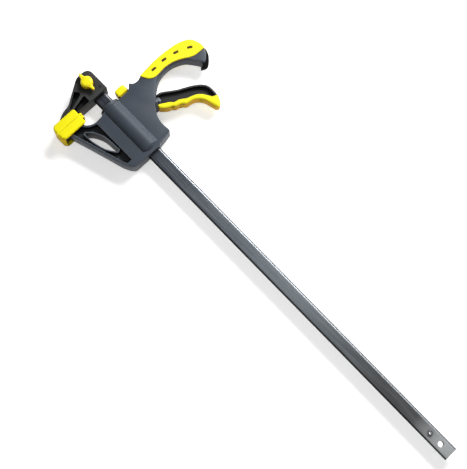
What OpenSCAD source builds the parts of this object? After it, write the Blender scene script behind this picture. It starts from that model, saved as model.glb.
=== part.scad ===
// One-handed quick release bar clamp with a 450 mm opening. All sizes are millimetres.
// X runs along the bar from the fixed jaw to the free end, Y runs up the handle, Z is the thickness.
// The origin is where the pads meet, on the axis of the bar, half way through its thickness.

/* [Bar] */
// Width of the steel bar
bar_w = 17.6; // [14:0.2:22]
// Thickness of the steel bar
bar_t = 6; // [4:0.2:7]
// Radius on the long edges of the bar
bar_r = 2.7; // [0.5:0.1:2.9]
// How far the sliding jaw can move
travel = 450; // [150:10:900]
// Length of the bar past the stop pin
bar_tail = 32.5; // [20:0.5:60]
// Diameter of the hanging hole
hang_d = 7; // [4:0.5:9]
// Diameter of the stop pin
stop_d = 5; // [3:0.5:6]
// How far the stop pin stands out of each face of the bar
stop_out = 2.4; // [1:0.1:4]

/* [Jaws] */
// Depth of the jaws, from the axis of the bar to the bottom of the pads
jaw_reach = 69.5; // [60:0.5:95]
// Half thickness of the jaw arms, the housing and the handle
half_t = 10; // [9:0.25:12]
// Thickness of the rims round the jaw arms
rim_w = 2.6; // [1.8:0.1:3.4]
// Half thickness of the web between the rims
web_h = 2.2; // [1:0.1:4]
// Half thickness of the fixed jaw
jaw_h = 11; // [9.5:0.25:13]

/* [Pads] */
// Width of a pad
pad_w = 30; // [24:0.5:36]
// Depth of a pad, from its face to the open back
pad_d = 11.2; // [9:0.1:15]
// Thickness of the face of a pad
pad_face = 3.8; // [2.5:0.1:5]
// Thickness of the side walls of a pad
pad_wall = 2.6; // [1.5:0.1:3.5]
// Gap between the faces of the closed pads
pad_gap = 0.1; // [0.02:0.02:1]

/* [Handle and trigger] */
// Height of the handle above the housing
grip_h = 82; // [70:0.5:100]
// How far the yellow inlay stands above the handle
inlay_h = 1.2; // [0.4:0.1:2]
// Thickness of the inlay round the handle
inlay_t = 2.2; // [1.4:0.1:3]
// Half thickness of the trigger
trig_h = 7.2; // [6:0.1:8]
// Diameter of the trigger pin
pin_d = 5; // [4:0.25:6]
// Distance from the trigger pin to the centre of the nose
nose_arm = 20; // [17:0.5:21]

/* [Knob] */
// Radius of the dome of the wing knob
knob_r = 7.4; // [6:0.1:9]
// Span of the two wings
wing_span = 27.1; // [22:0.1:34]
// Height of the knob above its washer
knob_h = 8.4; // [6:0.2:12]
// Diameter of the lock screw
screw_d = 5.9; // [4.9:0.1:6.9]

/* [Fits] */
// Clearance on each side of the bar in the collars of the housing
slide_fit = 0.15; // [0.05:0.01:0.3]
// Clearance on each side of the bar in the plates
plate_fit = 0.3; // [0.2:0.05:0.6]
// Radial clearance of the trigger on its pin
pin_fit = 0.05; // [0.01:0.01:0.1]
// Clearance beside moving parts inside the housing
side_gap = 0.3; // [0.2:0.05:0.6]

/* [Hidden] */
$fn = 48;

slate = [0.29, 0.32, 0.35];
dark = [0.13, 0.14, 0.16];
yellow = [1.0, 0.92, 0.1];
steel = [0.55, 0.58, 0.6];
zinc = [0.72, 0.73, 0.74];

steps = 3;           // rings of a rounded edge

// Stations along the bar
knob_at = [-24, -1.6];
bar_x0 = knob_at.x - 12;
collar_x0 = 11.6;
collar_x1 = 91;
stop_x = collar_x1 + travel + stop_d / 2;
hang_x = stop_x + bar_tail / 2 + 0.25;
bar_x1 = stop_x + bar_tail;

// Spring round the bar, its chamber and the rounded housing over it
wire_r = 0.8;
coil_r = bar_w / 2 + 1.5;
chamber_r = coil_r + wire_r + 0.7;
bulge_r = chamber_r + 3.2;
collar_r = bulge_r - 1.8;
cavity_h = trig_h + side_gap;

// Trigger, plates and spring
pivot = [46, 25.2 + bar_w / 2];
nose = pivot - [0, nose_arm];
nose_r = 4;
plate_t = 3;
plate_x = nose.x + nose_r + 0.3;
washer_t = 0.8;
spring_x0 = plate_x + 2 * plate_t + washer_t;
spring_x1 = 83.5;
plate_top = nose.y + 6.2;
plate_bottom = -bar_w / 2 - 3.2;

// Brake plate, leaning back by tilt on the edge at brake_foot
tilt = 5;
brake_t = 2.5;
brake_r = brake_t / 2;
brake_foot = [19.73 + bar_w / 2 * tan(tilt), -bar_w / 2 - 4.4];
brake_pivot = brake_foot + brake_r * [cos(tilt), sin(tilt)];
brake_top = 28.5;
spring_y = 17;
spring_stop_x = 31;
mouth = [14.4, 31.3];

// Screws of the housing, at [x, y]
screws = [[26, 46], [42, 50 + 66.5 * grip_h / 82], [80, 21.5], [25, -20], [80, -20]];
boss_r = 3.4;
screw_r = 1.45;
head_r = 2.9;
head_t = 2;

// Scales that move the low part of a jaw and the high part of the handle
function reverse(p) = [for (i = [len(p) - 1:-1:0]) p[i]];

function low(p) = [p.x, p.y > -26 ? p.y : -26 + (p.y + 26) * (jaw_reach - 26) / 43.5];
function high(p) = [p.x, p.y < 50 ? p.y : 50 + (p.y - 50) * grip_h / 82];
function lows(p) = [for (q = p) low(q)];
function highs(p) = [for (q = p) high(q)];

// A smooth curve through the points of p, with n steps to each stretch
function blend(a, b, c, d, t) =
    0.5 * (2 * b + (c - a) * t + (2 * a - 5 * b + 4 * c - d) * t * t
    + (3 * b - a - 3 * c + d) * t * t * t);
function curve(p, n = 3) = let (m = len(p) - 1)
    concat([for (i = [0:m - 1]) for (k = [0:n - 1])
        blend(p[max(i - 1, 0)], p[i], p[i + 1], p[min(i + 2, m)], k / n)], [p[m]]);

// A polygon given as [x, y, corner radius], with true arcs at its corners
function corner(a, b, c, step) = let (
    u = [a.x - b.x, a.y - b.y] / norm([a.x - b.x, a.y - b.y]),
    v = [c.x - b.x, c.y - b.y] / norm([c.x - b.x, c.y - b.y]),
    half = acos(u * v) / 2,
    m = [b.x, b.y] + (u + v) / norm(u + v) * b[2] / sin(half),
    p = [b.x, b.y] + u * b[2] / tan(half) - m,
    q = [b.x, b.y] + v * b[2] / tan(half) - m,
    from = atan2(p.y, p.x),
    turn = (atan2(q.y, q.x) - from + 540) % 360 - 180,
    n = max(1, ceil(abs(turn) / step)))
    [for (i = [0:n]) m + b[2] * [cos(from + turn * i / n), sin(from + turn * i / n)]];
function rounded(p, step = 18) = let (n = len(p)) [for (i = [0:n - 1])
    each p[i][2] > 0 ? corner(p[(i + n - 1) % n], p[i], p[(i + 1) % n], step) : [[p[i].x, p[i].y]]];

// Inward direction at each corner of an anticlockwise outline, sized so that its sides move by 1
function inward(p) = let (n = len(p)) [for (i = [0:n - 1]) let (
    a = p[i] - p[(i + n - 1) % n],
    b = p[(i + 1) % n] - p[i],
    na = [-a.y, a.x] / norm(a),
    nb = [-b.y, b.x] / norm(b))
    (na + nb) / max(0.5, 1 + na * nb)];
function inset(p, d) = let (m = inward(p))
    [for (i = [0:len(p) - 1]) p[i] + m[i] * (is_list(d) ? d[i] : d)];

// Triangles that fill a flat outline, by cutting one ear at a time
function turns(a, b, c) = cross(b - a, c - b);
function holds(a, b, c, q) =
    turns(a, b, q) > -1e-9 && turns(b, c, q) > -1e-9 && turns(c, a, q) > -1e-9;
function is_ear(p, s, k) = let (
    n = len(s),
    a = p[s[(k + n - 1) % n]],
    b = p[s[k]],
    c = p[s[(k + 1) % n]])
    turns(a, b, c) > 1e-7
    && len([for (j = [2:n - 2]) if (holds(a, b, c, p[s[(k + j) % n]])) 1]) == 0;
function find_ear(p, s, k = 0) = k >= len(s) ? 0 : is_ear(p, s, k) ? k : find_ear(p, s, k + 1);
function fill(p, s, out = []) = let (n = len(s)) n == 3 ? concat(out, [s]) : let (
    k = find_ear(p, s))
    fill(p, [for (j = [0:n - 1]) if (j != k) s[j]],
        concat(out, [[s[(k + n - 1) % n], s[k], s[(k + 1) % n]]]));

// A plate from z0 to z1 over an anticlockwise outline, with quarter-round edges.
// The radii top and bottom are one number or one for each corner of the outline.
module slab(p, z0, z1, top = 1, bottom = 0) {
    n = len(p);
    m = inward(p);
    et = [for (i = [0:n - 1]) is_list(top) ? top[i] : top];
    eb = [for (i = [0:n - 1]) is_list(bottom) ? bottom[i] : bottom];
    low_rings = is_list(bottom) || bottom > 0 ? [for (k = [steps:-1:0]) 90 * k / steps] : [];
    high_rings = [for (k = [0:steps]) 90 * k / steps];
    first = len(low_rings) > 0 ? [] : [for (q = p) [q.x, q.y, z0]];
    pts = concat(first,
        [for (f = low_rings) for (i = [0:n - 1]) let (q = p[i] + m[i] * eb[i] * (1 - cos(f)))
            [q.x, q.y, z0 + eb[i] * (1 - sin(f))]],
        [for (f = high_rings) for (i = [0:n - 1]) let (q = p[i] + m[i] * et[i] * (1 - cos(f)))
            [q.x, q.y, z1 - et[i] * (1 - sin(f))]]);
    rings = len(pts) / n;
    flat = [for (q = pts) [q.x, q.y]];
    base = fill(flat, [for (i = [0:n - 1]) i]);
    lid = fill(flat, [for (i = [0:n - 1]) i + (rings - 1) * n]);
    sides = [for (r = [0:rings - 2]) for (i = [0:n - 1]) let (
        a = r * n + i,
        b = r * n + (i + 1) % n)
        each [[a, b + n, b], [a, a + n, b + n]]];
    polyhedron(pts, concat(base, sides, [for (t = lid) [t[2], t[1], t[0]]]));
}

// A coil spring along X from x0 to x1, with dead turns at both ends
module coil(r, w, x0, x1, live, dead = 1, per_turn = 14) {
    turns_all = live + 2 * dead;
    n = round(turns_all * per_turn);
    hex = 6;
    pitch = (x1 - x0 - 2 * w - 2 * dead * 2.1 * w) / live;
    function along(t) = t < dead ? t * 2.1 * w
        : t < dead + live ? dead * 2.1 * w + (t - dead) * pitch
        : dead * 2.1 * w + live * pitch + (t - dead - live) * 2.1 * w;
    pts = [for (i = [0:n]) let (t = turns_all * i / n) for (k = [0:hex - 1])
        let (s = r + w * cos(60 * k))
        [x0 + w + along(t) + w * sin(60 * k), s * cos(360 * t), s * sin(360 * t)]];
    polyhedron(pts, concat(
        [[for (k = [0:hex - 1]) k]],
        [for (i = [0:n - 1]) for (k = [0:hex - 1]) let (
            a = i * hex + k,
            b = i * hex + (k + 1) % hex)
            each [[a, b + hex, b], [a, a + hex, b + hex]]],
        [[for (k = [hex - 1:-1:0]) n * hex + k]]));
}

// A flat rounded bar section, width along X and thickness along Y
module bar_section(w, t, r) {
    square([w - 2 * r, t], center = true);
    square([w, t - 2 * r], center = true);
    for (x = [-1, 1], y = [-1, 1]) translate([x * (w / 2 - r), y * (t / 2 - r)]) circle(r);
}

// Turns a section drawn in X and Y into a body that runs along X from x0 to x1
module along_x(x0, x1) {
    translate([x0, 0, 0]) rotate([90, 0, 90]) linear_extrude(x1 - x0) children();
}

module hole(x, y, r, z0, z1) {
    translate([x, y, z0]) cylinder(h = z1 - z0, r = r);
}

module block(a, b) {
    translate(a) cube(b - a);
}

// ---- Bar ----

module bar() {
    color(steel) difference() {
        along_x(bar_x0, bar_x1) bar_section(bar_w, bar_t, min(bar_r, bar_t / 2 - 0.1));
        hole(stop_x, 0, stop_d / 2, -bar_t, bar_t);
        hole(hang_x, 0, hang_d / 2, -bar_t, bar_t);
        hole(knob_at.x, knob_at.y, screw_d / 2 + 0.35, -bar_t, bar_t);
    }
}

module stop_pin() {
    reach = bar_t / 2 + stop_out;
    color(steel) difference() {
        hole(stop_x, 0, stop_d / 2, -reach, reach);
        hole(stop_x, 0, stop_d / 2 - 0.8, -reach - 1, reach + 1);
        block([stop_x, -0.3, -reach - 1], [stop_x + stop_d, 0.3, reach + 1]);
    }
}

// ---- Fixed jaw ----

jaw_face = -4.4;
seat = pad_face + pad_gap / 2;
nose_t = 2.5;
nose_w = pad_w / 2 - pad_wall - 0.1;
nose_y = [low([0, -66]).y, low([0, -36.5]).y];
nut_flat = 5.2;
nut_t = 5;

fixed_outline = concat(
    rounded([[-seat - nose_t, low([0, -59.5]).y, 0], [-seat - nose_t, low([0, -38]).y, 0],
        [jaw_face, low([0, -34.5]).y, 0], [jaw_face, 12.5, 1], [-32.6, 12.5, 3]]),
    curve([[-37.4, 8.6], [-38.5, 5], [-38.5, -1], [-37.8, -6.6], [-34.5, -12.6]]),
    lows(curve([[-27.8, -22.6], [-23.2, -29.7], [-19.9, -34.8], [-18.3, -39.6], [-17.3, -45],
        [-15.4, -50.1], [-12.2, -56.1]])));

// Pockets between the ribs of the fixed jaw
left_pocket = rounded([for (q = [[-27, -19.8, 0.8], [-22.6, -15.6, 1.8], [-19.4, -17, 1.2],
    [-13.3, -35.6, 0.8], [-14.4, -38.4, 0.8]]) [q.x, low(q).y, q[2]]]);
right_pocket = rounded([for (q = [[-15.8, -14.3, 1.2], [-10.8, -34.6, 0.8], [-5.9, -34.6, 0.5],
    [-5.9, -14.3, 0.8]]) [q.x, low(q).y, q[2]]]);

module fixed_jaw() {
    color(slate) difference() {
        union() {
            slab(fixed_outline, -jaw_h, jaw_h, 0.9, 0.9);
            block([-seat - nose_t, nose_y[0], -nose_w], [-seat, nose_y[1], nose_w]);
        }
        along_x(bar_x0 - 0.4, 0) bar_section(bar_w + 0.2, bar_t + 0.2, min(bar_r, bar_t / 2 - 0.1));
        for (s = [-1, 1]) translate([0, 0, s * (jaw_h + web_h) / 2]) {
            linear_extrude(jaw_h - web_h + 0.02, center = true) polygon(reverse(left_pocket));
            linear_extrude(jaw_h - web_h + 0.02, center = true) polygon(right_pocket);
        }
        hole(knob_at.x, knob_at.y, screw_d / 2 + 0.3, -20, 20);
        for (q = [[-11.4, 6.6], [-34.6, -8.6]]) hole(q.x, q.y, 1.3, jaw_h - 1, 20);
        translate([knob_at.x, knob_at.y, -jaw_h - 1]) nut_shape(nut_flat, nut_t + 1.2);
    }
}

module nut_shape(flat, h) {
    rotate(30) cylinder(h = h, r = flat / cos(30), $fn = 6);
}

module lock_nut() {
    color(zinc) difference() {
        translate([knob_at.x, knob_at.y, -jaw_h + 0.2]) nut_shape(nut_flat, nut_t);
        hole(knob_at.x, knob_at.y, screw_d / 2 + 0.05, -20, 0);
    }
}

// ---- Wing knob ----

washer_z = jaw_h + 1.2;

module knob_washer() {
    color(zinc) difference() {
        hole(knob_at.x, knob_at.y, knob_r - 0.6, jaw_h, washer_z);
        hole(knob_at.x, knob_at.y, screw_d / 2 + 0.3, jaw_h - 1, washer_z + 1);
    }
}

module lock_screw() {
    color(zinc) hole(knob_at.x, knob_at.y, screw_d / 2, -jaw_h + 0.4, washer_z + 4.5);
}

module wing_knob() {
    half = wing_span / 2;
    wing = concat([[knob_r - 3.4, 3.4], [knob_r - 3.4, -3.4]],
        curve([[knob_r - 1, -3.1], [knob_r + 1, -2.1], [half * 0.75, -1.7], [half - 1, -1.2], [half, 0],
            [half - 1, 1.2], [half * 0.75, 1.7], [knob_r + 1, 2.1], [knob_r - 1, 3.1]]));
    dome = 3.2;
    crown = knob_h - dome;
    color(yellow) translate([knob_at.x, knob_at.y, washer_z]) difference() {
        union() {
            rotate(45) rotate_extrude() polygon(concat(
                [[0, 0], [knob_r - 0.6, 0], [knob_r, 0.8], [knob_r, crown]],
                [for (a = [18:18:72]) [knob_r - dome + dome * cos(a), crown + dome * sin(a)]],
                [[knob_r - dome, knob_h], [0, knob_h]]));
            for (a = [0, 180]) rotate(a) slab(wing, 1.8, knob_h - 1.4, 0.7, 0.7);
        }
        translate([0, 0, -1]) cylinder(h = 5.5, r = screw_d / 2);
    }
}

// ---- Pads ----

// The pad of the sliding jaw. The one of the fixed jaw is its mirror image.
module pad() {
    x0 = pad_gap / 2;
    back = x0 + pad_d;
    top = low([0, -34.7]).y;
    floor_y = -jaw_reach;
    crown = low([0, -28]).y;
    crown_in = 0.2;
    half = pad_w / 2;
    edge = 2.2;
    rib_z = max(half_t, jaw_h) + 0.4;
    rib_end = half - pad_wall + 0.6;
    side = rounded([[x0, floor_y, edge + 0.1], [back, floor_y, 6], [back, top, edge + 0.1],
        [x0, top, edge + 0.1]]);
    face = rounded([[4 - half, top - 3, 0], [half - 4, top - 3, 0], [half - 4.6, crown, 5.4],
        [4.6 - half, crown, 5.4]]);
    difference() {
        slab(side, -half, half, edge, edge);
        block([x0 + pad_face, floor_y + 3.2, -half + pad_wall], [back + 5, top + 5, half - pad_wall]);
        for (y = [floor_y + 8:5:top - 4])
            translate([x0, y, 0]) rotate([0, 0, 45]) cube([0.7, 0.7, pad_w - 8], center = true);
    }
    translate([x0, 0, 0]) rotate([0, 90, 0]) slab(face, crown_in, pad_face - crown_in, 0.9, 0.9);
    for (s = [-1, 1]) translate([seat + nose_t, floor_y + 8, s < 0 ? -rib_end : rib_z])
        cube([1.2, top - 12 - floor_y, rib_end - rib_z]);
}

module slide_pad() {
    color(yellow) pad();
}

module fixed_pad() {
    color(yellow) mirror([1, 0, 0]) pad();
}

// ---- Housing, handle and sliding jaw, in two shells ----

handle_back = highs(curve([[38, 131.7], [31.1, 132.6], [23.6, 131.1], [17.1, 126.9], [12.9, 119.8],
    [10, 110.1], [8.4, 97.6], [7.7, 85.2], [7.9, 73], [9.2, 60.6], [11.4, 50.7]]));
inlay_edge = highs(curve([[16.2, 52.7], [21, 55.7], [24.4, 61.1], [25, 67.8], [24, 75.2], [24.1, 82.5],
    [25.5, 91.1], [28.9, 99.6], [32.3, 105.7], [35.8, 111.8], [37.5, 118.5], [37.8, 125.5]]));
handle_front = highs(curve([[37.4, 51.9], [33, 57.8], [30, 63.8], [28.2, 70], [27.3, 77], [27.4, 84.5],
    [28.8, 91.8], [31.6, 98.8], [35.4, 104.6], [40, 109.3], [45.2, 113.1], [49.2, 115.4]]));
handle_end = highs(curve([[50.9, 117.8], [50.4, 121], [47.6, 125.1], [43.7, 128.9]]));
shoulder = curve([[82, 30.5], [75.4, 29.9], [68.1, 30.4], [61.9, 32.3], [55.6, 35.6], [50.6, 39.3],
    [45.5, 44.8], [40.6, 49.4]]);
jaw_bottom = lows(curve([[10.4, -58.6], [29.6, -52.5], [53.5, -45.2], [75, -38.9], [81, -36.4],
    [86.6, -33.3], [90.2, -29.8]]));
jaw_top = lows(curve([[18.3, -26], [16.5, -32.2], [13, -37], [8.9, -40.5]]));

shell_outline = concat(
    [[seat + nose_t, low([0, -59.6]).y]],
    jaw_bottom,
    rounded([[collar_x1, -27.5, 0], [collar_x1, 9.5, 0], [89, 11.8, 0], [85.8, 30.5, 2.4], [82.6, 30.5, 0]]),
    shoulder,
    handle_front,
    handle_end,
    handle_back,
    curve([[13.4, 46.5], [13.8, 42.2], [12.5, 38.6], [10.1, 36.2]]),
    [[9.2, 35], [10.6, 33.2], [13.4, 30.9], [15.3, 26.5], [15.3, -13], [17.5, -16.4]],
    jaw_top,
    [[seat + nose_t, low([0, -42.4]).y]]);

// Edge radius of the shells: small on the housing, large along the handle, small at its end
function shell_edge(p) = let (y = (p.y - 44) / grip_h * 82)
    y < 0 ? 1 : p.x > 30 && y > 50 ? max(1.6, 6 - 0.45 * (p.x - 30)) : min(6, 1 + y * 0.2);
shell_edges = [for (p = shell_outline) shell_edge(p)];

inlay_outline = concat(handle_back, inlay_edge);
back_n = len(handle_back);
edge_n = len(inlay_edge);
function by_side(a, b) = [for (i = [0:back_n + edge_n - 1]) i < back_n ? a : b];
back_core = inset(inlay_outline, inlay_t);
inlay_core = concat([for (i = [2:back_n - 3]) back_core[i]], [for (p = inlay_edge) p + [0.9, -0.4]]);
inlay_room = inset(inlay_outline, by_side(-1, 0));
function inlay_radius(p) =
    min(5, 0.8 + 0.4 * min(norm(p - handle_back[0]), norm(p - handle_back[back_n - 1])));
core_h = half_t - 1.4;

// Lugs of the shells that show in slots of the inlay, at [x, y, turn]
lugs = [[16.6, 68.3, 0], [16.2, 85.3, 5], [19.1, 101.9, 15], [25.8, 118.7, 30]];
lug = [2.6, 6.4, 2 * (half_t + inlay_h - 0.8 - core_h)];
module at_lugs() {
    for (q = lugs) translate([q.x, high(q).y, 0]) rotate(-q[2]) children();
}

// Window right through the sliding jaw
window = rounded([for (q = [[18.6, -45.8, 1], [33, -45.1, 14], [50, -41, 30], [66.5, -29.8, 1.6],
    [38, -31.4, 30], [25, -38.3, 20]]) [q.x, low(q).y, q[2]]], 12);

hook_outline = highs(concat(
    curve([[34, 129.6], [35.2, 132.6], [38.5, 133.4], [45.9, 130.7], [52.3, 125.4], [55.8, 120.2],
        [55.6, 116.3], [53, 111.6]]),
    curve([[51.6, 112.6], [50.9, 116.8], [48.6, 120.6], [42.6, 126]])));
hook_h = 3.5;

module hook_hole() {
    translate([0, 0, -hook_h]) linear_extrude(2 * hook_h) polygon(reverse(hook_outline));
}

// The space inside the housing and the handle, with the bosses, ribs and seats that stand in it
module inner_section() {
    difference() {
        polygon(concat(
            [[20.4, -24.1], [84.6, -24.1], [84.2, 27.6], [68, 27.4], [60.5, 29.9], [54, 33.2], [48.6, 37.2],
                [43.4, 43], [36, 49.4]],
            highs([[29.6, 58.4], [26.6, 66], [25, 73.4], [24.6, 80], [25.2, 88], [27.6, 96.4], [32, 104.4],
                [37.4, 110.4], [44, 115.4], [44, 120.4], [40.5, 125.4], [33, 127.2], [26.2, 126], [20.4, 121.6],
                [16.8, 113], [14.8, 100], [13.7, 86], [13.8, 73], [15, 62]]),
            [[16.8, 51], [17.2, 44], [16, 37.4], [14.4, 35.4], [17.8, 30.4], [18, 26], [18, -13], [20.2, -17]]));
        for (s = screws) translate(s) circle(boss_r);
        translate(brake_foot - [5.05, 4]) square([5, 4]);
        translate([brake_pivot.x + brake_r + 0.06, brake_foot.y - 4]) square([3.4, 3.8]);
        translate(brake_foot - [5, 4]) square([10.5, 2.2]);
        translate([spring_stop_x, 12.4]) square([2.5, 10.6]);
        translate([spring_x1, -16]) square([3, 32]);
        for (y = [66, 88, 106]) translate([10, high([0, y]).y]) square([30, 1.8]);
    }
}

// The recess between the rims of the sliding jaw, round the window
module jaw_recess() {
    difference() {
        offset(r = 1, $fn = 16) offset(delta = -rim_w - 1) intersection() {
            polygon(shell_outline);
            translate([-50, -226.7 + rim_w]) square([131.2 + rim_w, 200]);
        }
        offset(r = 1.5, $fn = 16) polygon(window);
    }
}

trigger_slot = [[33, 44], [60, 26], [63.6, 32.6], [56, 41], [46, 53], [42, 62], [34.2, 62], [34.2, 56]];

// Profile of the rounded spring housing, at [radius, x]
bulge = [[0, collar_x0], [collar_r - 0.6, collar_x0], [collar_r, collar_x0 + 0.6], [collar_r, 15.8],
    [bulge_r, 17.6], [bulge_r, spring_x1 - 0.1], [bulge_r - 0.4, spring_x1 + 0.6],
    [half_t - 0.3, spring_x1 + 4.7], [0, spring_x1 + 4.7]];

// The half of the housing with z over 0
module half_shell() {
    difference() {
        union() {
            difference() {
                slab(shell_outline, 0, half_t, shell_edges);
                translate([0, 0, -1]) linear_extrude(half_t + 2) polygon(inlay_room);
            }
            linear_extrude(core_h) polygon(inlay_core);
            at_lugs() translate([0, 0, core_h]) cube(lug, center = true);
            rotate([0, 90, 0]) rotate_extrude() polygon(bulge);
            block([seat, nose_y[0], 0], [seat + nose_t, nose_y[1], nose_w]);
        }
        translate([0, 0, -1]) linear_extrude(cavity_h + 1) inner_section();
        translate([0, 0, -1]) linear_extrude(cavity_h + 1) polygon(trigger_slot);
        block([4, mouth[0], -1], [24, mouth[1], cavity_h]);
        along_x(0, 100) square([bar_w + 2 * slide_fit, bar_t + 2 * slide_fit], center = true);
        rotate([0, 90, 0]) translate([0, 0, spring_x0 - washer_t - 1])
            cylinder(h = spring_x1 - spring_x0 + washer_t + 1, r = chamber_r);
        translate([0, 0, web_h]) linear_extrude(20) jaw_recess();
        translate([0, 0, -1]) linear_extrude(20) polygon(window);
        hole(pivot.x, pivot.y, pin_d / 2, -1, half_t - 1);
        hook_hole();
        block([-20, -200, -20], [120, 260, 0]);
    }
}

module front_shell() {
    color(slate) difference() {
        half_shell();
        for (s = screws) hole(s.x, s.y, screw_r, -1, cavity_h - 1);
    }
}

module rear_shell() {
    color(slate) difference() {
        mirror([0, 0, 1]) half_shell();
        for (s = screws) {
            hole(s.x, s.y, screw_r + 0.1, -20, 1);
            hole(s.x, s.y, head_r + 0.2, -20, -half_t + head_t + 0.3);
        }
    }
}

module shell_screws() {
    z = -half_t + head_t + 0.3;
    color(zinc) for (s = screws) difference() {
        union() {
            hole(s.x, s.y, head_r, z - head_t, z);
            hole(s.x, s.y, screw_r, z - 0.2, cavity_h - 1.2);
        }
        for (a = [0, 90]) translate([s.x, s.y, z - head_t]) rotate(a)
            cube([3.4, 0.8, 2.2], center = true);
    }
}

module grip(s) {
    color(yellow) mirror([0, 0, s < 0 ? 1 : 0]) difference() {
        slab(inlay_outline, 0, half_t + inlay_h, concat([for (p = handle_back) inlay_radius(p)],
            [for (p = inlay_edge) 0.8]));
        translate([0, 0, -1]) linear_extrude(core_h + 1) polygon(inlay_core);
        at_lugs() translate([0, 0, core_h]) cube([lug.x + 0.1, lug.y + 0.1, 20], center = true);
        hook_hole();
    }
}

module grip_front() {
    grip(1);
}

module grip_rear() {
    grip(-1);
}

module hang_hook() {
    color(dark) slab(reverse(hook_outline), -hook_h, hook_h, 0.8, 0.8);
}

// ---- Brake plate and release button ----

function brake_x(y) = brake_foot.x - (y - brake_foot.y) * tan(tilt);

module at_brake() {
    translate([brake_foot.x, brake_foot.y, 0]) rotate(tilt) children();
}

module brake_plate() {
    above = (brake_top - brake_foot.y) / cos(tilt);
    slot_y = -brake_foot.y;
    color(steel) at_brake() difference() {
        union() {
            block([0, 0, -trig_h + 0.2], [brake_t, above, trig_h - 0.2]);
            hole(brake_r, 0, brake_r, -trig_h + 0.2, trig_h - 0.2);
        }
        block([-1, slot_y - bar_w / 2 - plate_fit, -bar_t / 2 - plate_fit],
            [brake_t + 1, slot_y + bar_w / 2 + plate_fit, bar_t / 2 + plate_fit]);
        for (s = [-1, 1]) translate([-1, above, s * trig_h]) rotate([45, 0, 0])
            cube([brake_t + 4, 3, 3], center = true);
    }
}

module brake_spring() {
    color(zinc) translate([0, spring_y, 0])
        coil(3.1, 0.4, brake_x(spring_y - 3.5) + brake_t / cos(tilt) + 0.2, spring_stop_x, 5, 1, 12);
}

module release_button() {
    cap = rounded([[13.5, 15.2, 2.4], [13.5, 30.2, 2.4], [3.4, 30, 3.4], [3, 22.6, 12], [3.6, 15.4, 3.2]]);
    color(yellow) difference() {
        union() {
            slab(cap, 0.2 - trig_h, trig_h - 0.2, 2, 2);
            at_brake() block([-5, 36, -5], [brake_t + 1.8, (brake_top - brake_foot.y) / cos(tilt) + 1.6, 5]);
            at_brake() block([-5, 30.5, -5], [0, 40, 5]);
        }
        at_brake() block([0, 20, -trig_h + 0.2], [brake_t, (brake_top - brake_foot.y) / cos(tilt), trig_h - 0.2]);
        for (y = [19, 22.6, 26.2]) translate([3, y, 0]) cube([1.4, 0.9, 9], center = true);
    }
}

// ---- Drive plates and spring ----

module drive_plate(x) {
    color(steel) difference() {
        along_x(x, x + plate_t) translate([(plate_top + plate_bottom) / 2, 0])
            bar_section(plate_top - plate_bottom, 2 * trig_h - 0.4, 2);
        along_x(x - 1, x + plate_t + 1)
            square([bar_w + 2 * plate_fit, bar_t + 2 * plate_fit], center = true);
    }
}

module drive_plate_a() {
    drive_plate(plate_x);
}

module drive_plate_b() {
    drive_plate(plate_x + plate_t);
}

module spring_washer() {
    color(zinc) along_x(spring_x0 - washer_t, spring_x0) difference() {
        circle(chamber_r - 0.4);
        square([bar_w + 2 * plate_fit, bar_t + 2 * plate_fit], center = true);
    }
}

module drive_spring() {
    color(zinc) coil(coil_r, wire_r, spring_x0, spring_x1, 4.5, 1, 18);
}

// ---- Trigger ----

trigger_outer = curve([[90, 102.9], [79.9, 103.2], [73.8, 101.7], [69.1, 98.1], [65.5, 93.9], [59.8, 84.8],
    [54.1, 73.3], [48.3, 64.4], [42.5, 55.8], [41.4, 49.7]]);
trigger_inner = curve([[54.6, 43.4], [61, 52], [66, 61], [68, 67.5], [71.5, 75.5], [75, 83.5],
    [80.4, 89.4], [87.5, 93.3], [96, 95.3]]);
trigger_outline = concat(trigger_inner, [[98.3, 96.8], [97, 98.6], [91.4, 100.9]], trigger_outer);
trigger_root = rounded([[38.2, 36, 3], [39, 29, 4], [53, 29, 4], [54, 36, 3], [55.2, 44.5, 1],
    [47, 56, 0], [41.6, 50.5, 1]]);
finger_side = curve([[55.4, 40.4], [59.4, 43.6], [63.3, 48.9], [65, 53.2], [67.8, 55.9], [69.6, 61.6],
    [71.6, 64.9], [74.4, 67.8], [75.6, 75], [77.4, 79.4], [81.2, 83.9], [87, 87.4], [93, 88.9],
    [98.2, 89.8], [102, 91.4], [103.2, 94.2], [101.6, 97.6], [97, 101], [91, 103.2]]);
trigger_pad_outline = concat(finger_side,
    curve([[90.6, 101.2], [89, 97], [86, 94.6], [80.8, 91.7], [76.2, 87.7], [72.8, 82.6], [70.8, 77],
        [69, 72.2], [66.5, 68.6], [63.9, 64.2], [62.5, 58.4], [59, 54.9], [56.2, 50.4], [53.1, 45],
        [51.9, 41.8]]));
pad_h = trig_h + 1;

module trigger_cam_section() {
    translate(pivot) circle(6.2);
    translate(nose) circle(nose_r);
    polygon([pivot + [-6.1, -1], nose + [-nose_r, -0.4], nose + [nose_r, -0.4],
        nose + [nose_r - 0.8, plate_top - nose.y + 1], pivot + [6.1, -1]]);
    translate(pivot + [-2.2, 0]) square([4.4, 14.4]);
    translate(pivot + [-2.9, 13]) square([6.9, 2.9]);
}
cam_h = 4;
cam_show = 0.6;

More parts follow.
